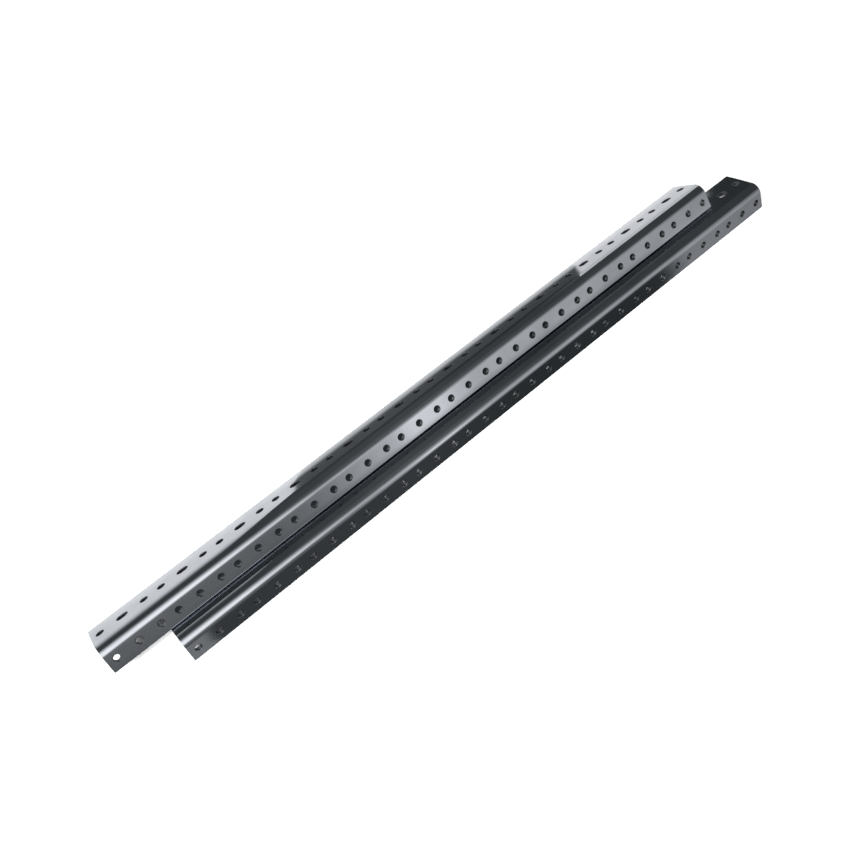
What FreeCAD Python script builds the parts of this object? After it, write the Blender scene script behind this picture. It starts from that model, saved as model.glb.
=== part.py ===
import FreeCAD, Part
import math
import os

import Sketcher

# A pair of L-shaped rack rails, folded from sheet steel and punched on the rack unit pattern.
# The lower rail stands ridge up on its two free edges. The upper rail leans on it.
# Millimetres. X runs along the rails, +Z is up, and the mount flanges fall towards +Y.

doc = FreeCAD.newDocument("RackRails")

# Driving sizes: alias, value and what it measures
SIZES = [
    ("rack_units", 12, "rack units along one rail"),
    ("unit_pitch", 44.45, "height of one rack unit"),
    ("hole_offset", 6.35, "first hole of a unit from the start of the unit"),
    ("hole_step", 15.875, "spacing of the three holes of a unit"),
    ("sheet_gauge", 3.0, "thickness of the sheet"),
    ("bend_inner", 4.5, "inside radius of the fold"),
    ("mount_flange", 31.75, "outer corner to the free edge of the mount flange"),
    ("face_flange", 19.84, "outer corner to the free edge of the face flange"),
    ("mount_row", 17.46, "outer corner to the hole row of the mount flange"),
    ("face_row", 12.7, "outer corner to the hole row of the face flange"),
    ("corner_radius", 0.6, "rounding of the four free corners of the blank"),
    ("tapped_bore", 4.1, "tapped hole at its thread crests"),
    ("tapped_rim", 5.0, "tapped hole across its countersunk entry"),
    ("tapped_flare", 90, "angle of that entry in degrees"),
    ("plain_hole", 5.5, "round hole of the mount flange"),
    ("slot_width", 5.5, "slot of the mount flange across the rail"),
    ("slot_length", 8.0, "slot of the mount flange along the rail, end to end"),
    ("stagger", 40.0, "lower rail set along from the upper rail"),
    ("lean_reach", 15.6, "lower rail's outer corner to the line that the upper rail leans on"),
    ("lean_gap", 0.2, "clearance between the two rails where they meet"),
]
HOLES_PER_UNIT = 3

sheet = doc.addObject("Spreadsheet::Sheet", "Sizes")
for row, (alias, value, meaning) in enumerate(SIZES, 1):
    sheet.set(f"A{row}", meaning)
    sheet.set(f"B{row}", str(value))
    sheet.setAlias(f"B{row}", alias)
doc.recompute()


def size(alias):
    """A driving size, read from the sheet."""
    return float(sheet.get(alias))


def size_of(expression):
    """The present value of an expression on the sheet."""
    return float(sheet.evalExpression(expression))


def sketch_on(body, role, name):
    """An empty sketch on one of the body's own origin planes."""
    plane = next(feature for feature in body.Origin.OriginFeatures if feature.Role == role)
    sketch = body.newObject("Sketcher::SketchObject", name)
    sketch.AttachmentSupport = [(plane, "")]
    sketch.MapMode = "FlatFace"
    return sketch


def line(x1, y1, x2, y2):
    """A straight edge of a sketch."""
    return Part.LineSegment(FreeCAD.Vector(x1, y1, 0), FreeCAD.Vector(x2, y2, 0))


def circle(x, y, radius):
    """A full circle of a sketch."""
    return Part.Circle(FreeCAD.Vector(x, y, 0), FreeCAD.Vector(0, 0, 1), radius)


def arc(x, y, radius, start, end):
    """An arc of a sketch, anticlockwise between two angles in degrees."""
    return Part.ArcOfCircle(circle(x, y, radius), math.radians(start), math.radians(end))


def bind(sketch, expression, *constraint):
    """A dimension of a sketch, tied to the sheet."""
    index = sketch.addConstraint(Sketcher.Constraint(*constraint, size_of(expression)))
    sketch.setExpression(f"Constraints[{index}]", expression)


def relate(sketch, *constraint):
    """A geometric relation of a sketch."""
    sketch.addConstraint(Sketcher.Constraint(*constraint))


def sheet_profile(body):
    """The L section: both flanges at one gauge, joined by a round fold about one centre."""
    width, height = size("mount_flange"), size("face_flange")
    gauge, inner = size("sheet_gauge"), size("bend_inner")
    outer = gauge + inner
    sketch = sketch_on(body, "YZ_Plane", "Section")
    face_outer = sketch.addGeometry(line(0, -height, 0, -outer))
    fold_outer = sketch.addGeometry(arc(outer, -outer, outer, 90, 180))
    mount_outer = sketch.addGeometry(line(outer, 0, width, 0))
    mount_edge = sketch.addGeometry(line(width, 0, width, -gauge))
    mount_inner = sketch.addGeometry(line(width, -gauge, outer, -gauge))
    fold_inner = sketch.addGeometry(arc(outer, -outer, inner, 90, 180))
    face_inner = sketch.addGeometry(line(gauge, -outer, gauge, -height))
    face_edge = sketch.addGeometry(line(gauge, -height, 0, -height))

    relate(sketch, "Tangent", face_outer, 2, fold_outer, 2)
    relate(sketch, "Tangent", fold_outer, 1, mount_outer, 1)
    relate(sketch, "Coincident", mount_outer, 2, mount_edge, 1)
    relate(sketch, "Coincident", mount_edge, 2, mount_inner, 1)
    relate(sketch, "Tangent", mount_inner, 2, fold_inner, 1)
    relate(sketch, "Tangent", fold_inner, 2, face_inner, 1)
    relate(sketch, "Coincident", face_inner, 2, face_edge, 1)
    relate(sketch, "Coincident", face_edge, 2, face_outer, 1)
    relate(sketch, "Coincident", fold_outer, 3, fold_inner, 3)
    relate(sketch, "Vertical", mount_edge)
    relate(sketch, "Horizontal", face_edge)
    relate(sketch, "Vertical", face_outer)
    relate(sketch, "Horizontal", mount_outer)
    relate(sketch, "PointOnObject", face_outer, 1, -2)
    relate(sketch, "PointOnObject", mount_outer, 2, -1)
    bind(sketch, "Sizes.mount_flange", "DistanceX", -1, 1, mount_outer, 2)
    bind(sketch, "Sizes.face_flange", "DistanceY", face_outer, 1, -1, 1)
    bind(sketch, "Sizes.sheet_gauge", "DistanceY", mount_edge, 2, mount_edge, 1)
    bind(sketch, "Sizes.bend_inner", "Radius", fold_inner)
    return sketch


def blank_corners(shape):
    """Names of the four short edges at the free corners of the two flanges."""
    gauge, width, height = size("sheet_gauge"), size("mount_flange"), size("face_flange")
    names = []
    for number, edge in enumerate(shape.Edges, 1):
        middle = edge.CenterOfMass
        across = abs(edge.Length - gauge) < gauge / 100
        at_free_edge = abs(middle.y - width) < gauge / 100 or abs(middle.z + height) < gauge / 100
        if across and at_free_edge:
            names.append(f"Edge{number}")
    return names


def tapped_row(body):
    """Sketch of one unit's three tapped holes, on the outer face of the face flange."""
    offset, step, row = size("hole_offset"), size("hole_step"), size("face_row")
    sketch = sketch_on(body, "XZ_Plane", "TappedRow")
    radius = size("tapped_bore") / 2
    places = [offset + k * step for k in range(HOLES_PER_UNIT)]
    holes = [sketch.addGeometry(circle(place, -row, radius)) for place in places]
    bind(sketch, "Sizes.hole_offset", "DistanceX", -1, 1, holes[0], 3)
    bind(sketch, "Sizes.face_row", "DistanceY", holes[0], 3, -1, 1)
    for before, after in zip(holes, holes[1:]):
        bind(sketch, "Sizes.hole_step", "DistanceX", before, 3, after, 3)
        relate(sketch, "Horizontal", before, 3, after, 3)
    for hole in holes:
        bind(sketch, "Sizes.tapped_bore", "Diameter", hole)
    return sketch


def plain_row(body):
    """Sketch of one unit's round hole, slot and round hole, on the outer face of the mount flange."""
    offset, step, row = size("hole_offset"), size("hole_step"), size("mount_row")
    radius, end = size("plain_hole") / 2, size("slot_width") / 2
    run = (size("slot_length") - size("slot_width")) / 2
    middle = offset + step
    sketch = sketch_on(body, "XY_Plane", "PlainRow")
    first = sketch.addGeometry(circle(offset, row, radius))
    last = sketch.addGeometry(circle(offset + 2 * step, row, radius))
    left = sketch.addGeometry(arc(middle - run, row, end, 90, 270))
    right = sketch.addGeometry(arc(middle + run, row, end, -90, 90))
    top = sketch.addGeometry(line(middle + run, row + end, middle - run, row + end))
    base = sketch.addGeometry(line(middle - run, row - end, middle + run, row - end))

    relate(sketch, "Tangent", top, 2, left, 1)
    relate(sketch, "Tangent", left, 2, base, 1)
    relate(sketch, "Tangent", base, 2, right, 1)
    relate(sketch, "Tangent", right, 2, top, 1)
    for curve in (last, left, right):
        relate(sketch, "Horizontal", first, 3, curve, 3)
    half_run = "(Sizes.slot_length - Sizes.slot_width) / 2"
    bind(sketch, "Sizes.hole_offset", "DistanceX", -1, 1, first, 3)
    bind(sketch, "Sizes.mount_row", "DistanceY", -1, 1, first, 3)
    bind(sketch, "2 * Sizes.hole_step", "DistanceX", first, 3, last, 3)
    bind(sketch, f"Sizes.hole_step - {half_run}", "DistanceX", first, 3, left, 3)
    bind(sketch, f"Sizes.hole_step + {half_run}", "DistanceX", first, 3, right, 3)
    bind(sketch, "Sizes.slot_width / 2", "Radius", left)
    for hole in (first, last):
        bind(sketch, "Sizes.plain_hole", "Diameter", hole)
    return sketch


def folded_rail(label):
    """One rail along +X from its left end, with its outer corner on the X axis."""
    body = doc.addObject("PartDesign::Body", label)
    body.Label = label

    strip = body.newObject("PartDesign::Pad", "Strip")
    strip.Profile = sheet_profile(body)
    strip.setExpression("Length", "Sizes.rack_units * Sizes.unit_pitch")
    doc.recompute()

    blank = body.newObject("PartDesign::Fillet", "Blank")
    blank.Base = (strip, blank_corners(strip.Shape))
    blank.setExpression("Radius", "Sizes.corner_radius")
    doc.recompute()

    tapped = body.newObject("PartDesign::Hole", "Tapped")
    tapped.Profile = tapped_row(body)
    doc.recompute()
    tapped.DepthType = "ThroughAll"
    tapped.HoleCutType = "Countersink"
    tapped.setExpression("Diameter", "Sizes.tapped_bore")
    tapped.setExpression("HoleCutDiameter", "Sizes.tapped_rim")
    tapped.setExpression("HoleCutCountersinkAngle", "Sizes.tapped_flare")
    doc.recompute()

    plain = body.newObject("PartDesign::Pocket", "Plain")
    plain.Profile = plain_row(body)
    plain.Type = "ThroughAll"
    doc.recompute()
    if not plain.Shape.Volume < tapped.Shape.Volume < blank.Shape.Volume:
        raise ValueError(f"{label}: a row of holes cuts nothing")

    units = body.newObject("PartDesign::LinearPattern", "Units")
    units.Originals = [tapped, plain]
    units.Direction = (plain.Profile[0], ["H_Axis"])
    units.setExpression("Length", "(Sizes.rack_units - 1) * Sizes.unit_pitch")
    units.setExpression("Occurrences", "Sizes.rack_units")
    body.Tip = units
    doc.recompute()
    return body


def seat(body, tilt, x, y, z):
    """Turn a rail about its outer corner, mount flange down, and set that corner in place."""
    turn = FreeCAD.Rotation(FreeCAD.Vector(1, 0, 0), -math.degrees(tilt))
    body.Placement = FreeCAD.Placement(FreeCAD.Vector(x, y, z), turn)


# Tilt of the lower rail with both free edges on the ground
gauge = size("sheet_gauge")
width = size("mount_flange")
height = size("face_flange")
lower_tilt = math.atan2(height - gauge, width - gauge)
lower_ridge = width * math.sin(lower_tilt) + gauge * math.cos(lower_tilt)

# The upper rail's face flange edge comes down on the lower rail's mount flange
reach = size("lean_reach")
rise = gauge + size("lean_gap")
lean_height = (width - reach) * math.sin(lower_tilt) + rise * math.cos(lower_tilt)
upper_tilt = lower_tilt + math.asin(lean_height / math.hypot(width - gauge, height - gauge))
upper_ridge = width * math.sin(upper_tilt) + gauge * math.cos(upper_tilt)

# The upper rail's outer corner behind the lower rail's, level with the ground
lean_line = reach * math.cos(lower_tilt) + size("lean_gap") * math.sin(lower_tilt)
set_back = lean_line - gauge * math.cos(upper_tilt) + height * math.sin(upper_tilt)

# The pair is centred over the origin
front = -height * math.sin(lower_tilt)
back = set_back + width * math.cos(upper_tilt)
middle = (front + back) / 2
start = -(size("rack_units") * size("unit_pitch") + size("stagger")) / 2

lower_rail = folded_rail("lower_rail")
seat(lower_rail, lower_tilt, start + size("stagger"), -middle, lower_ridge)

upper_rail = folded_rail("upper_rail")
seat(upper_rail, upper_tilt, start, set_back - middle, upper_ridge)

doc.recompute()
for item in doc.Objects:
    if "Invalid" in item.State or "Error" in item.State:
        raise RuntimeError(f"{item.Label} did not build")

rails = (lower_rail, upper_rail)
for rail in rails:
    if rail.Shape.isNull() or not rail.Shape.isValid():
        raise RuntimeError(f"{rail.Label} is not a valid solid")

os.makedirs("parts", exist_ok=True)
for rail in rails:
    rail.Shape.exportStep(f"parts/{rail.Label}.step")
    box = rail.Shape.BoundBox
    print(rail.Label, "volume", round(rail.Shape.Volume, 1), "box", box)
print("tilts", round(math.degrees(lower_tilt), 3), round(math.degrees(upper_tilt), 3))
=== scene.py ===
import math

import bmesh
import bpy
from mathutils import Matrix, Vector


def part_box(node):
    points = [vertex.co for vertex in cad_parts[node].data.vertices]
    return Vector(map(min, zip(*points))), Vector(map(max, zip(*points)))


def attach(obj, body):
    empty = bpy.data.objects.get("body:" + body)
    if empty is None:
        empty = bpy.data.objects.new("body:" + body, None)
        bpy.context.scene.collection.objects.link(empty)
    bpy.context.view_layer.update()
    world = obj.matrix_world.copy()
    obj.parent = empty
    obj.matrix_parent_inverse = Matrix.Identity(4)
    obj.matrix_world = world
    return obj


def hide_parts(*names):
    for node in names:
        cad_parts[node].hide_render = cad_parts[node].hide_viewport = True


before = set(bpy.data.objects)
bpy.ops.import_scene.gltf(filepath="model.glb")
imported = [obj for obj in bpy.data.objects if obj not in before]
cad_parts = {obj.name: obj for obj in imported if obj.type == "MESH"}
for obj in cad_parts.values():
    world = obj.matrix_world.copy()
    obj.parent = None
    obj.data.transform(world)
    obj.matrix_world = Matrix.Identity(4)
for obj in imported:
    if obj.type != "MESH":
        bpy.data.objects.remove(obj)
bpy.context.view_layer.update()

# Folded strip
# Each rail is one strip of cold rolled steel, sheared to twelve rack units, folded to an L in a press
# brake and plated with bright zinc. Shearing and deburring leave its edges and corners slightly rounded.
mm = 0.001
rack_units = 12
unit_pitch = 44.45 * mm
rail_length = rack_units * unit_pitch
sheet_gauge = 3.0 * mm
bend_inner = 4.5 * mm
bend_outer = bend_inner + sheet_gauge
bend_inner_steps = 12
bend_outer_steps = 24
mount_flange = 31.75 * mm
face_flange = 19.84 * mm
corner_radius = 0.6 * mm
corner_steps = 8
broken_edge = 0.25 * mm
edge_steps = 4
largest_inset = 0.8 * broken_edge


def strip_section(mount, face, inset):
    """The L section as (y, z) points, anticlockwise from +X, shrunk all round by inset."""
    edge, gauge, bend, tip = broken_edge, sheet_gauge, bend_outer, broken_edge - inset
    arcs = (
        (bend, -bend, bend_outer - inset, 90, 180, bend_outer_steps),
        (edge, edge - face, tip, 180, 270, edge_steps),
        (gauge - edge, edge - face, tip, 270, 360, edge_steps),
        (bend, -bend, bend_inner + inset, 180, 90, bend_inner_steps),
        (mount - edge, edge - gauge, tip, 270, 360, edge_steps),
        (mount - edge, -edge, tip, 0, 90, edge_steps),
    )
    points = []
    for y, z, radius, first, last, steps in arcs:
        for step in range(steps + 1):
            angle = math.radians(first + (last - first) * step / steps)
            points.append((y + radius * math.cos(angle), z + radius * math.sin(angle)))
    return points


def strip_ends():
    """(distance from the end, how far the flanges fall short, inset) through a rounded blank corner."""
    for step in range(corner_steps + 1):
        turn = math.pi / 2 * step / corner_steps
        along = corner_radius * (1 - math.cos(turn))
        room = max(broken_edge - along, 0.0)
        inset = min(broken_edge - math.sqrt(broken_edge**2 - room**2), largest_inset)
        yield along, corner_radius * (1 - math.sin(turn)), inset


strip = bmesh.new()
ends = list(strip_ends())
stations = ends + [(rail_length - along, short, inset) for along, short, inset in reversed(ends)]
loops = []
for along, short, inset in stations:
    section = strip_section(mount_flange - short, face_flange - short, inset)
    loops.append([strip.verts.new((along, y, z)) for y, z in section])
for near, far in zip(loops, loops[1:]):
    for i in range(len(near)):
        j = (i + 1) % len(near)
        strip.faces.new((near[i], near[j], far[j], far[i]))
strip.faces.new(loops[0][::-1])
strip.faces.new(loops[-1])
strip_mesh = bpy.data.meshes.new("folded_strip")
strip.to_mesh(strip_mesh)
strip.free()


def wire(tree, kind, inputs=None, **settings):
    """Adds a node, sets its properties, and sets or links its inputs by name or number."""
    made = tree.nodes.new(kind)
    for name, value in settings.items():
        setattr(made, name, value)
    for name, value in (inputs or {}).items():
        if isinstance(value, bpy.types.NodeSocket):
            tree.links.new(value, made.inputs[name])
        else:
            made.inputs[name].default_value = value
    return made


def reckon(tree, operation, *values, **settings):
    """The result of a Math node on sockets or numbers."""
    return wire(tree, "ShaderNodeMath", dict(enumerate(values)), operation=operation, **settings).outputs[0]


def shader_group(name, inputs, outputs):
    """A new shader group with float inputs, given as (label, default), and float outputs."""
    tree = bpy.data.node_groups.new(name, "ShaderNodeTree")
    for label, value in inputs:
        socket = tree.interface.new_socket(name=label, in_out="INPUT", socket_type="NodeSocketFloat")
        socket.default_value = value
    for label in outputs:
        tree.interface.new_socket(name=label, in_out="OUTPUT", socket_type="NodeSocketFloat")
    return tree, tree.nodes.new("NodeGroupInput"), tree.nodes.new("NodeGroupOutput")


# Fine lines along the rail, as the mill's rolls leave them in the sheet.
rolling_grain, grain_in, grain_out = shader_group(
    "rolling_grain", [("Lines per metre", 4000.0), ("Run", 0.02)], ["Lines"])
lines_across = grain_in.outputs["Lines per metre"]
lines_along = reckon(rolling_grain, "MULTIPLY", lines_across, grain_in.outputs["Run"])
grain_scale = wire(rolling_grain, "ShaderNodeCombineXYZ", {
    "X": lines_along, "Y": lines_across, "Z": lines_across})
grain_place = wire(rolling_grain, "ShaderNodeTexCoord")
grain_lines = wire(rolling_grain, "ShaderNodeVectorMath", {
    0: grain_place.outputs["Object"], 1: grain_scale.outputs[0]}, operation="MULTIPLY")
grain_noise = wire(rolling_grain, "ShaderNodeTexNoise", {
    "Vector": grain_lines.outputs[0], "Scale": 1.0, "Detail": 2.0, "Roughness": 0.6})
rolling_grain.links.new(grain_noise.outputs["Fac"], grain_out.inputs["Lines"])

# Faint dull patches, as handling leaves them on the plate.
handling_marks, marks_in, marks_out = shader_group(
    "handling_marks", [("Patches per metre", 22.0)], ["Dullness"])
marks_place = wire(handling_marks, "ShaderNodeTexCoord")
marks_noise = wire(handling_marks, "ShaderNodeTexNoise", {
    "Vector": marks_place.outputs["Object"], "Scale": marks_in.outputs["Patches per metre"],
    "Detail": 4.0, "Roughness": 0.65})
marks_range = wire(handling_marks, "ShaderNodeMapRange", {
    "Value": marks_noise.outputs["Fac"], "From Min": 0.42, "From Max": 0.72})
handling_marks.links.new(marks_range.outputs[0], marks_out.inputs["Dullness"])


def plated_steel(name, bright, dull, sheen, wear, grain_depth):
    """A plated steel finish: sheen is its least roughness and wear what dull patches add to it."""
    material = bpy.data.materials.new(name)
    material.use_nodes = True
    tree = material.node_tree
    shader = tree.nodes["Principled BSDF"]
    shader.inputs["Metallic"].default_value = 1.0
    grain = wire(tree, "ShaderNodeGroup", node_tree=rolling_grain)
    marks = wire(tree, "ShaderNodeGroup", node_tree=handling_marks)
    colour = wire(tree, "ShaderNodeMix", {
        "Factor": marks.outputs["Dullness"], 6: bright, 7: dull}, data_type="RGBA")
    tree.links.new(colour.outputs[2], shader.inputs["Base Color"])
    rough = wire(tree, "ShaderNodeMapRange", {
        "Value": marks.outputs["Dullness"], "To Min": sheen, "To Max": sheen + wear})
    tree.links.new(rough.outputs[0], shader.inputs["Roughness"])
    bump = wire(tree, "ShaderNodeBump", {
        "Height": grain.outputs["Lines"], "Distance": grain_depth, "Strength": 1.0})
    tree.links.new(bump.outputs[0], shader.inputs["Normal"])
    return material


# The zinc has a clear, faintly blue passivate, and its gloss is drawn out across the rolling lines.
zinc_tint = (0.56, 0.585, 0.62, 1.0)
zinc_dull = (0.47, 0.495, 0.53, 1.0)
zinc_plate = plated_steel(
    "zinc_plate", zinc_tint, zinc_dull, sheen=0.065, wear=0.03, grain_depth=0.003 * mm)
zinc_tree = zinc_plate.node_tree
zinc_gloss = zinc_tree.nodes["Principled BSDF"]
zinc_gloss.inputs["Anisotropic"].default_value = 1.0
zinc_gloss.inputs["Anisotropic Rotation"].default_value = 0.25
rolled_along = wire(zinc_tree, "ShaderNodeTangent", direction_type="UV_MAP", uv_map="developed")
zinc_tree.links.new(rolled_along.outputs[0], zinc_gloss.inputs["Tangent"])

# Punched holes
# A round hole, a slot and a round hole to each rack unit of the mount flange, and three holes to each
# unit of the face flange, are punched before the fold. The punch rolls each rim over a little.
hole_offset = 6.35 * mm
hole_step = 15.875 * mm
mount_row = 17.46 * mm
face_row = 12.7 * mm
plain_radius = 2.75 * mm
slot_length = 8.0 * mm
thread_major = 2.41 * mm
flare_radius = 2.65 * mm
flare_drop = flare_radius - thread_major
rim_roll = 0.3 * mm
rim_steps = 4
punch_overshoot = 0.3 * mm
punch_facets = 40

# The hole walls are rougher than the plate, as sheared steel is, and darker: that darkness is painted shade
# in the holes.
shaded_wall_bright = (0.28, 0.29, 0.31, 1.0)
shaded_wall_dull = (0.15, 0.16, 0.17, 1.0)
shaded_punched_wall = plated_steel(
    "shaded_punched_wall", shaded_wall_bright, shaded_wall_dull, sheen=0.32, wear=0.12, grain_depth=0.002 * mm)


def rolled_rim(face, side):
    """Profile points of a plain hole's rim at a face of the sheet; side is 1 outside and -1 inside."""
    points = [(plain_radius + rim_roll, face + side * punch_overshoot)]
    for step in range(1, rim_steps + 1):
        angle = math.radians(90 * step / rim_steps)
        radius = plain_radius + rim_roll * (1 - math.sin(angle))
        points.append((radius, face - side * rim_roll * (1 - math.cos(angle))))
    return points[::side]


def punch(name, profile, stretch=0.0):
    """A punch as the void that it leaves: profile points (radius, z) turned about Z, drawn out along X."""
    tool = bmesh.new()
    rings = []
    for radius, height in profile:
        ring = []
        for k in range(punch_facets):
            angle = math.tau * (k + 0.5) / punch_facets
            reach = math.copysign(stretch / 2, math.cos(angle))
            ring.append(tool.verts.new((radius * math.cos(angle) + reach, radius * math.sin(angle), height)))
        rings.append(ring)
    for upper, lower in zip(rings, rings[1:]):
        for i in range(punch_facets):
            j = (i + 1) % punch_facets
            tool.faces.new((lower[i], lower[j], upper[j], upper[i]))
    tool.faces.new(rings[0])
    tool.faces.new(rings[-1][::-1])
    mesh = bpy.data.meshes.new(name)
    tool.to_mesh(mesh)
    tool.free()
    mesh.materials.append(shaded_punched_wall)
    made = bpy.data.objects.new(name, mesh)
    bpy.context.collection.objects.link(made)
    return made


plain_profile = rolled_rim(0.0, 1) + rolled_rim(-sheet_gauge, -1)
flare_mouth = flare_radius + punch_overshoot
tapped_profile = [
    (flare_mouth, punch_overshoot), (thread_major, -flare_drop),
    (thread_major, -sheet_gauge + flare_drop), (flare_mouth, -sheet_gauge - punch_overshoot)]
round_punch = punch("round_punch", plain_profile)
slot_punch = punch("slot_punch", plain_profile, slot_length - 2 * plain_radius)
tap_drill = punch("tap_drill", tapped_profile)


def geometry_group(name, inputs):
    """A new geometry tree with the inputs given as (label, kind of socket) and one geometry output."""
    tree = bpy.data.node_groups.new(name, "GeometryNodeTree")
    for label, kind in inputs:
        tree.interface.new_socket(name=label, in_out="INPUT", socket_type=f"NodeSocket{kind}")
    tree.interface.new_socket(name="Geometry", in_out="OUTPUT", socket_type="NodeSocketGeometry")
    return tree, tree.nodes.new("NodeGroupInput"), tree.nodes.new("NodeGroupOutput")


# One row of tools along a flange, a few to each rack unit.
rack_row, row_in, row_out = geometry_group("rack_row", [
    ("Tool", "Geometry"), ("Units", "Int"), ("Unit pitch", "Float"), ("Holes per unit", "Int"),
    ("First hole", "Float"), ("Hole step", "Float"), ("Row", "Vector"), ("Turn", "Rotation")])
row_index = wire(rack_row, "GeometryNodeInputIndex").outputs[0]
row_unit = reckon(rack_row, "FLOOR", reckon(rack_row, "DIVIDE", row_index, row_in.outputs["Holes per unit"]))
row_hole = reckon(rack_row, "MODULO", row_index, row_in.outputs["Holes per unit"])
to_unit = reckon(rack_row, "MULTIPLY", row_unit, row_in.outputs["Unit pitch"])
to_hole = reckon(rack_row, "MULTIPLY", row_hole, row_in.outputs["Hole step"])
row_along = reckon(rack_row, "ADD", row_in.outputs["First hole"], reckon(rack_row, "ADD", to_unit, to_hole))
row_place = wire(rack_row, "ShaderNodeVectorMath", {
    0: wire(rack_row, "ShaderNodeCombineXYZ", {"X": row_along}).outputs[0], 1: row_in.outputs["Row"]})
row_points = wire(rack_row, "GeometryNodePoints", {
    "Count": reckon(rack_row, "MULTIPLY", row_in.outputs["Units"], row_in.outputs["Holes per unit"]),
    "Position": row_place.outputs[0]})
row_set = wire(rack_row, "GeometryNodeInstanceOnPoints", {
    "Points": row_points.outputs[0], "Instance": row_in.outputs["Tool"], "Rotation": row_in.outputs["Turn"]})
rack_row.links.new(row_set.outputs[0], row_out.inputs[0])

# All three rows of holes, cut from the strip, with the plate's finish outside and the punched wall's,
# darkened with painted shade, within.
mount_place = (0.0, mount_row, 0.0)
mount_turn = (0.0, 0.0, 0.0)
face_place = (0.0, 0.0, -face_row)
face_turn = (math.radians(90), 0.0, 0.0)
punching, press_in, press_out = geometry_group("punching", [
    ("Geometry", "Geometry"), ("Units", "Int"), ("Unit pitch", "Float"), ("First hole", "Float"),
    ("Hole step", "Float"), ("Round punch", "Object"), ("Slot punch", "Object"), ("Tap drill", "Object"),
    ("Plate", "Material"), ("Wall", "Material")])


def punched_row(tool, holes, first, step, place, turn):
    """One row of holes as a solid for the cut, with the punched wall's finish and its painted shade."""
    body = wire(punching, "GeometryNodeObjectInfo", {"Object": press_in.outputs[tool]})
    row = wire(punching, "GeometryNodeGroup", {
        "Tool": body.outputs["Geometry"], "Units": press_in.outputs["Units"],
        "Unit pitch": press_in.outputs["Unit pitch"], "Holes per unit": holes, "First hole": first,
        "Hole step": step, "Row": place, "Turn": turn}, node_tree=rack_row)
    return wire(punching, "GeometryNodeRealizeInstances", {0: row.outputs[0]}).outputs[0]


first_hole = press_in.outputs["First hole"]
one_step = press_in.outputs["Hole step"]
two_steps = reckon(punching, "MULTIPLY", one_step, 2.0)
middle_hole = reckon(punching, "ADD", first_hole, one_step)
plate = wire(punching, "GeometryNodeSetMaterial", {
    "Geometry": press_in.outputs["Geometry"], "Material": press_in.outputs["Plate"]})
cut = wire(
    punching, "GeometryNodeMeshBoolean", {"Mesh 1": plate.outputs[0]}, operation="DIFFERENCE", solver="EXACT")
for holes in (
    punched_row("Round punch", 2, first_hole, two_steps, mount_place, mount_turn),
    punched_row("Slot punch", 1, middle_hole, 0.0, mount_place, mount_turn),
    punched_row("Tap drill", 3, first_hole, one_step, face_place, face_turn),
):
    punching.links.new(holes, cut.inputs["Mesh 2"])
whole = wire(punching, "GeometryNodeRealizeInstances", {0: cut.outputs[0]})
walls = wire(punching, "GeometryNodeMaterialSelection", {0: press_in.outputs["Wall"]})
finish = wire(punching, "GeometryNodeSetMaterial", {
    "Geometry": whole.outputs[0], "Selection": walls.outputs[0], "Material": press_in.outputs["Wall"]})
punching.links.new(finish.outputs[0], press_out.inputs[0])


def grow(name, tree, values, mesh=None):
    """Runs a geometry tree once with the values given by input name, and returns its plain mesh."""
    holder = bpy.data.objects.new(name, mesh or bpy.data.meshes.new(name))
    bpy.context.collection.objects.link(holder)
    modifier = holder.modifiers.new(name, "NODES")
    modifier.node_group = tree
    for socket in tree.interface.items_tree:
        if socket.in_out == "INPUT" and socket.name in values:
            modifier[socket.identifier] = values[socket.name]
    depsgraph = bpy.context.evaluated_depsgraph_get()
    made = bpy.data.meshes.new_from_object(holder.evaluated_get(depsgraph), depsgraph=depsgraph)
    made.name = name
    bpy.data.objects.remove(holder)
    return made


rail_mesh = grow("punched_rail", punching, {
    "Units": rack_units, "Unit pitch": unit_pitch, "First hole": hole_offset, "Hole step": hole_step,
    "Round punch": round_punch, "Slot punch": slot_punch, "Tap drill": tap_drill,
    "Plate": zinc_plate, "Wall": shaded_punched_wall}, strip_mesh)
for tool in (round_punch, slot_punch, tap_drill):
    bpy.data.objects.remove(tool)

# Flat faces are shaded flat, and the bend, the edges and the hole walls smooth.
square_on = 0.9999
sharp_angle = math.radians(35)
wall_slot = rail_mesh.materials.find("shaded_punched_wall")
for face in rail_mesh.polygons:
    face.use_smooth = face.material_index == wall_slot or max(abs(part) for part in face.normal) < square_on
rail_mesh.set_sharp_from_angle(angle=sharp_angle)

# The strip as it lay before the fold, for the direction of its rolling lines.
developed = rail_mesh.uv_layers.new(name="developed")
for loop in rail_mesh.loops:
    x, y, z = rail_mesh.vertices[loop.vertex_index].co
    developed.data[loop.index].uv = (x, y + z)

# Screw threads
# The three holes of each unit on the face flange are tapped through the sheet for rack screws.
# The thread is cut in the bare wall of the hole before plating, about three turns deep.
thread_pitch = 0.794 * mm
thread_minor = 2.05 * mm
thread_crest = 0.15 * mm
thread_base = 0.66 * mm
thread_turns = (sheet_gauge - 2 * flare_drop) / thread_pitch
thread_bottom = (0.0, 0.0, -sheet_gauge + flare_drop)
points_per_turn = 22
run_outs_per_thread = 8.0

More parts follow.
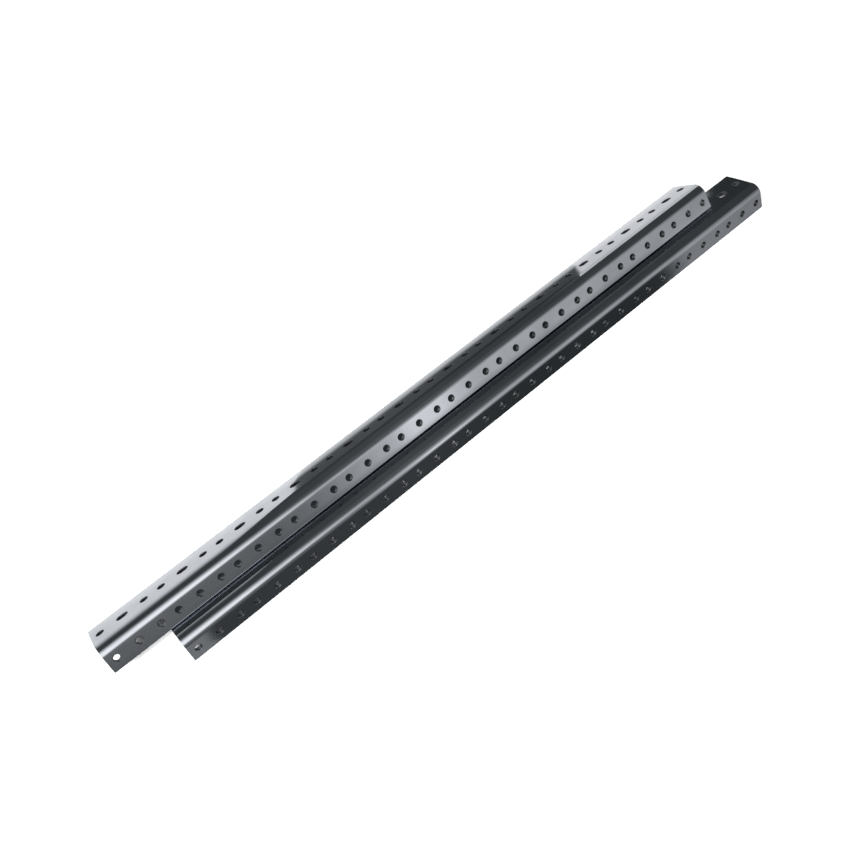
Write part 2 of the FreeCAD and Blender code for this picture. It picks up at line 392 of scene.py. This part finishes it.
tapping, tap_in, tap_out = geometry_group("tapping", [
    ("Units", "Int"), ("Unit pitch", "Float"), ("First hole", "Float"), ("Hole step", "Float"),
    ("Turns", "Float"), ("Thread pitch", "Float"), ("Major radius", "Float"), ("Minor radius", "Float"),
    ("Thread", "Material")])
thread_rise = reckon(tapping, "MULTIPLY", tap_in.outputs["Turns"], tap_in.outputs["Thread pitch"])
thread_depth = reckon(tapping, "SUBTRACT", tap_in.outputs["Major radius"], tap_in.outputs["Minor radius"])
helix = wire(tapping, "GeometryNodeCurveSpiral", {
    "Resolution": points_per_turn, "Rotations": tap_in.outputs["Turns"], "Height": thread_rise,
    "Start Radius": tap_in.outputs["Major radius"], "End Radius": tap_in.outputs["Major radius"]})
upright = wire(tapping, "GeometryNodeSetCurveNormal", {0: helix.outputs[0]}, mode="Z_UP")
run = wire(tapping, "GeometryNodeSplineParameter").outputs["Factor"]
run_left = reckon(tapping, "SUBTRACT", 1.0, run)
nearer_end = reckon(tapping, "MINIMUM", run, run_left)
run_out = reckon(tapping, "MULTIPLY", nearer_end, run_outs_per_thread, use_clamp=True)
tapered = wire(tapping, "GeometryNodeSetCurveRadius", {"Curve": upright.outputs[0], "Radius": run_out})
ridge = wire(tapping, "GeometryNodeCurvePrimitiveQuadrilateral", {
    "Bottom Width": thread_base, "Top Width": thread_crest, "Offset": 0.0, "Height": thread_depth},
    mode="TRAPEZOID")
ridge_inwards = wire(tapping, "GeometryNodeTransform", {
    "Geometry": ridge.outputs[0], "Rotation": (0.0, 0.0, math.radians(90))})
thread_run = wire(tapping, "GeometryNodeCurveToMesh", {
    "Curve": tapered.outputs[0], "Profile Curve": ridge_inwards.outputs[0], "Fill Caps": True})
thread_sunk = wire(tapping, "GeometryNodeTransform", {
    "Geometry": thread_run.outputs[0], "Translation": thread_bottom})
thread_row = wire(tapping, "GeometryNodeGroup", {
    "Tool": thread_sunk.outputs[0], "Units": tap_in.outputs["Units"],
    "Unit pitch": tap_in.outputs["Unit pitch"], "Holes per unit": 3,
    "First hole": tap_in.outputs["First hole"], "Hole step": tap_in.outputs["Hole step"],
    "Row": face_place, "Turn": face_turn}, node_tree=rack_row)
thread_whole = wire(tapping, "GeometryNodeRealizeInstances", {0: thread_row.outputs[0]})
thread_finish = wire(tapping, "GeometryNodeSetMaterial", {
    "Geometry": thread_whole.outputs[0], "Material": tap_in.outputs["Thread"]})
tapping.links.new(thread_finish.outputs[0], tap_out.inputs[0])

# The thread's dark colour is painted shade in the tapped holes, not a colour of the steel.
shaded_thread_bright = (0.17, 0.175, 0.185, 1.0)
shaded_thread_dull = (0.06, 0.063, 0.066, 1.0)
shaded_cut_thread = plated_steel(
    "shaded_cut_thread", shaded_thread_bright, shaded_thread_dull, sheen=0.24, wear=0.1, grain_depth=0.001 * mm)
thread_mesh = grow("thread_ridges", tapping, {
    "Units": rack_units, "Unit pitch": unit_pitch, "First hole": hole_offset, "Hole step": hole_step,
    "Turns": thread_turns, "Thread pitch": thread_pitch, "Major radius": thread_major,
    "Minor radius": thread_minor, "Thread": shaded_cut_thread})

# The pair as it lies
# The lower rail stands ridge up on its two free edges. The upper rail stands on the edge of its mount
# flange, and the inner edge of its face flange leans on the lower rail, a little along from its end.
lean_reach = 15.6 * mm
lean_gap = 0.2 * mm
mount_inside = mount_flange - sheet_gauge
face_inside = face_flange - sheet_gauge
lower_tilt = math.atan2(face_inside, mount_inside)
lean_rise = (mount_flange - lean_reach) * math.sin(lower_tilt)
lean_height = lean_rise + (sheet_gauge + lean_gap) * math.cos(lower_tilt)
upper_tilt = lower_tilt + math.asin(lean_height / math.hypot(mount_inside, face_inside))


def lay_rail(rail, tilt):
    """Places the rail and its threads where the frame has that rail, and fixes them to its body."""
    low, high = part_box(f"{rail}_rail")
    ridge_height = mount_flange * math.sin(tilt) + sheet_gauge * math.cos(tilt)
    if rail == "lower":
        across = low.y + face_flange * math.sin(tilt)
    else:
        across = high.y - mount_flange * math.cos(tilt)
    place = Matrix.Translation((low.x, across, low.z + ridge_height)) @ Matrix.Rotation(-tilt, 4, "X")
    for part, source in (("rail_sheet", rail_mesh), ("rail_threads", thread_mesh)):
        mesh = source.copy()
        mesh.transform(place)
        piece = bpy.data.objects.new(f"{rail}_{part}", mesh)
        bpy.context.collection.objects.link(piece)
        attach(piece, f"{rail}_rail")
    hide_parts(f"{rail}_rail")


lay_rail("lower", lower_tilt)
lay_rail("upper", upper_tilt)

# Floor and daylight
# The rails lie on a plain pale floor, painted matt, under one large soft lamp. Neither shows in the zinc,
# which mirrors panels of light instead.
floor_reach = 4.0
floor_tint = (0.86, 0.86, 0.86, 1.0)
floor_roughness = 0.9
daylight_from = Vector((-0.66, -0.2, 0.85))
daylight_spread = math.radians(36)
daylight_strength = 7.0


def stage_piece(name, corners, faces):
    """A piece of the studio from its corners and faces, with a material of its own to set up."""
    mesh = bpy.data.meshes.new(name)
    mesh.from_pydata(corners, [], faces)
    paint = bpy.data.materials.new(name)
    paint.use_nodes = True
    mesh.materials.append(paint)
    made = bpy.data.objects.new(name, mesh)
    bpy.context.collection.objects.link(made)
    return made


one_sheet = [(0, 1, 2, 3)]
floor = stage_piece("floor", [
    (x * floor_reach, y * floor_reach, 0.0) for x, y in ((-1, -1), (1, -1), (1, 1), (-1, 1))], one_sheet)
floor_paint = floor.active_material.node_tree.nodes["Principled BSDF"]
floor_paint.inputs["Base Color"].default_value = floor_tint
floor_paint.inputs["Roughness"].default_value = floor_roughness
floor.visible_glossy = False

lamp_data = bpy.data.lights.new("soft_daylight", "SUN")
lamp_data.angle = daylight_spread
lamp_data.energy = daylight_strength
lamp = bpy.data.objects.new("soft_daylight", lamp_data)
lamp.rotation_euler = daylight_from.to_track_quat("Z", "Y").to_euler()
lamp.visible_glossy = False
bpy.context.collection.objects.link(lamp)

# Panels of light
# Soft panels of light hang round the rails in a dim room, for the zinc to mirror. The room lights the
# floor only dimly, and the camera sees plain white behind everything.
panel_tint = (1.0, 0.99, 1.0, 1.0)
room_tint = (0.85, 0.965, 1.0, 1.0)
room_strength = 0.043
backdrop_tint = (1.0, 1.0, 1.0, 1.0)

panel_axes = ("Along", "Around")
panel_edges = ("starts", "is full", "fades", "ends")
soft_panel, panel_in, panel_out = shader_group("soft_panel", [
    (label, 0.0) for label in (
        "Along", "Around", "Light", "Lean", "Lean from",
        *(f"{axis} {edge}" for axis in panel_axes for edge in panel_edges))], ["Light"])
swing = reckon(soft_panel, "SUBTRACT", panel_in.outputs["Around"], panel_in.outputs["Lean from"])
slant = reckon(soft_panel, "MULTIPLY", swing, panel_in.outputs["Lean"])
slanted = reckon(soft_panel, "SUBTRACT", panel_in.outputs["Along"], slant)
lit = panel_in.outputs["Light"]
for axis, place in zip(panel_axes, (slanted, panel_in.outputs["Around"])):
    for dark, full in (("starts", "is full"), ("ends", "fades")):
        ramp = wire(soft_panel, "ShaderNodeMapRange", {
            "Value": place, "From Min": panel_in.outputs[f"{axis} {dark}"],
            "From Max": panel_in.outputs[f"{axis} {full}"]}, interpolation_type="SMOOTHSTEP")
        lit = reckon(soft_panel, "MULTIPLY", lit, ramp.outputs[0])
soft_panel.links.new(lit, panel_out.inputs["Light"])

world = bpy.data.worlds.new("studio")
world.use_nodes = True
studio = world.node_tree
gaze = wire(studio, "ShaderNodeSeparateXYZ", {0: wire(studio, "ShaderNodeTexCoord").outputs["Generated"]})
gaze_around = reckon(studio, "DEGREES", reckon(studio, "ARCTAN2", gaze.outputs["Y"], gaze.outputs["Z"]))

# Each panel has its light, its edges along the rails, its edges around them in degrees from straight up,
# positive behind, and, where its ends slant, by how much and from which angle.
no_lean = (0.0, 0.0)
panel_light = 0.0
for name, light, along, around, lean in (
    ("overhead_panel", 1.4, (-0.6, -0.3, 0.0, 0.26), (-62, -38, -28, 16), (-0.004, -34)),
    ("overhead_haze", 0.05, (0.05, 0.15, 0.35, 0.6), (-50, -25, -10, 15), no_lean),
    ("front_panel", 0.63, (0.1, 0.28, 0.4, 0.9), (-96, -58, -60, -18), no_lean),
    ("front_lamp", 0.38, (0.25, 0.29, 0.31, 0.37), (-80, -68, -58, -50), no_lean),
    ("front_near_end", 0.11, (-0.6, -0.3, 0.1, 0.2), (-90, -70, -50, -30), no_lean),
    ("low_front_far_end", 0.28, (0.545, 0.575, 0.7, 0.8), (-130, -115, -80, -60), no_lean),
    ("low_front_near_end", 0.2, (-0.6, -0.3, 0.0, 0.004), (-130, -115, -95, -85), no_lean),
    ("back_near_end", 0.85, (-0.6, -0.3, 0.155, 0.159), (38, 92, 140, 150), (0.00125, 119)),
    ("back_far_end", 0.8, (0.4945, 0.4975, 0.612, 0.618), (83, 91, 140, 150), no_lean),
    ("back_far_haze", 0.05, (0.42, 0.49, 0.55, 0.6), (46, 58, 70, 96), no_lean),
    ("back_middle", 0.04, (-0.6, -0.3, 0.7, 0.8), (92, 110, 140, 150), no_lean),
    ("ceiling", 0.03, (0.05, 0.25, 0.5, 0.9), (-50, -10, 50, 80), no_lean),
    ("dim_near_end", 0.025, (-3, -2, 0.2, 0.45), (-400, -300, 300, 400), no_lean),
    ("side_near_end", 0.65, (-0.85, -0.72, -0.3, -0.14), (-70, -40, 50, 80), no_lean),
    ("side_far_end", 0.65, (0.655, 0.72, 0.88, 0.97), (-70, -40, 50, 80), no_lean),
    ("wall_near_end", 0.3, (-3, -2, -0.75, -0.5), (-400, -300, 300, 400), no_lean),
    ("wall_far_end", 0.3, (0.75, 0.9, 2, 3), (-400, -300, 300, 400), no_lean),
):
    settings = {"Along": gaze.outputs["X"], "Around": gaze_around, "Light": light}
    settings.update({"Lean": lean[0], "Lean from": lean[1]})
    for axis, reach in zip(panel_axes, (along, around)):
        settings.update({f"{axis} {edge}": value for edge, value in zip(panel_edges, reach)})
    panel = wire(studio, "ShaderNodeGroup", settings, node_tree=soft_panel, name=name)
    panel_light = reckon(studio, "ADD", panel_light, panel.outputs[0])

panels = wire(studio, "ShaderNodeBackground", {"Color": panel_tint, "Strength": panel_light})
dim_room = wire(studio, "ShaderNodeBackground", {"Color": room_tint, "Strength": room_strength})
room = wire(studio, "ShaderNodeAddShader", {0: panels.outputs[0], 1: dim_room.outputs[0]})
backdrop = wire(studio, "ShaderNodeBackground", {"Color": backdrop_tint})
ray = wire(studio, "ShaderNodeLightPath")
mirrored = wire(studio, "ShaderNodeMixShader", {
    0: ray.outputs["Is Diffuse Ray"], 1: room.outputs[0], 2: dim_room.outputs[0]})
seen = wire(studio, "ShaderNodeMixShader", {
    0: ray.outputs["Is Camera Ray"], 1: mirrored.outputs[0], 2: backdrop.outputs[0]})
studio.links.new(seen.outputs[0], studio.nodes["World Output"].inputs["Surface"])
bpy.context.scene.world = world

# Lights close behind the upper rail
# A lit strip of floor lies along the edge of its mount flange, bright by the edge and fading away from it.
# A louvre of thin blades, lit on one side, stands close behind the bend towards the far end.
upper_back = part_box("upper_rail")[1].y
upper_ridge = upper_back - mount_flange * math.cos(upper_tilt)
glow_reach = 350.0 * mm
glow_width = 12.0 * mm
glow_full = 0.5 * mm
glow_gone = 10.5 * mm
glow_lift = 0.05 * mm
glow_strength = 1.1
blade_near, blade_far = 3.2 * mm, 4.1 * mm
blade_outline = (
    (blade_near, 24.0 * mm), (blade_far, 24.58 * mm), (blade_far, 21.3 * mm), (blade_near, 21.95 * mm))
blade_gap = 0.5 * mm
blade_count = 257
louvre_start = 121.4 * mm
louvre_strength = 0.8


def light_in_mirrors(piece, strength, factor, lit_at):
    """Makes a piece a light that only mirrors show: lit where factor is lit_at, 0 or 1, and else clear."""
    tree = piece.active_material.node_tree
    shine = wire(tree, "ShaderNodeEmission", {"Strength": strength})
    clear = wire(tree, "ShaderNodeBsdfTransparent")
    mix = wire(tree, "ShaderNodeMixShader", {
        0: factor, 1 + lit_at: shine.outputs[0], 2 - lit_at: clear.outputs[0]})
    tree.links.new(mix.outputs[0], tree.nodes["Material Output"].inputs["Surface"])
    piece.visible_camera = piece.visible_diffuse = piece.visible_shadow = False


glow_end = upper_back + glow_width
glow = stage_piece("floor_glow", [
    (-glow_reach, upper_back, glow_lift), (glow_reach, upper_back, glow_lift),
    (glow_reach, glow_end, glow_lift), (-glow_reach, glow_end, glow_lift)], one_sheet)
glow_tree = glow.active_material.node_tree
glow_point = wire(glow_tree, "ShaderNodeTexCoord")
glow_place = wire(glow_tree, "ShaderNodeSeparateXYZ", {0: glow_point.outputs["Object"]})
glow_fade = wire(glow_tree, "ShaderNodeMapRange", {
    "Value": glow_place.outputs["Y"], "From Min": upper_back + glow_full, "From Max": upper_back + glow_gone,
    "To Min": 1.0, "To Max": 0.0})
light_in_mirrors(glow, glow_strength, glow_fade.outputs[0], 1)

blade_corners = []
blades = []
for blade in range(blade_count):
    blades.append(range(len(blade_corners), len(blade_corners) + len(blade_outline)))
    for behind, height in blade_outline:
        blade_corners.append((louvre_start + blade * blade_gap, upper_ridge + behind, height))
louvre = stage_piece("ridge_louvre", blade_corners, blades)
louvre.active_material.cycles.emission_sampling = "NONE"
blade_side = wire(louvre.active_material.node_tree, "ShaderNodeNewGeometry")
light_in_mirrors(louvre, louvre_strength, blade_side.outputs["Backfacing"], 0)

# Camera
# It looks down along the rails from their near end, from in front and above, and is rolled a little.
# The picture is square, and nothing is out of focus.
aim = Vector((-34.5, 0.6, 0.0)) * mm
view_direction = Vector((0.29604, 0.29482, -0.90854))
view_distance = 667.6 * mm
view_roll = math.radians(4.41)
camera_data = bpy.data.cameras.new("camera")
camera_data.lens = 41.15
camera_data.sensor_width = 36.0
camera = bpy.data.objects.new("camera", camera_data)
bpy.context.collection.objects.link(camera)
camera.location = aim - view_direction * view_distance
camera.rotation_mode = "QUATERNION"
level_view = view_direction.to_track_quat("-Z", "Y")
camera.rotation_quaternion = level_view @ Matrix.Rotation(view_roll, 3, "Z").to_quaternion()
bpy.context.scene.camera = camera
bpy.context.scene.view_settings.view_transform = "Standard"
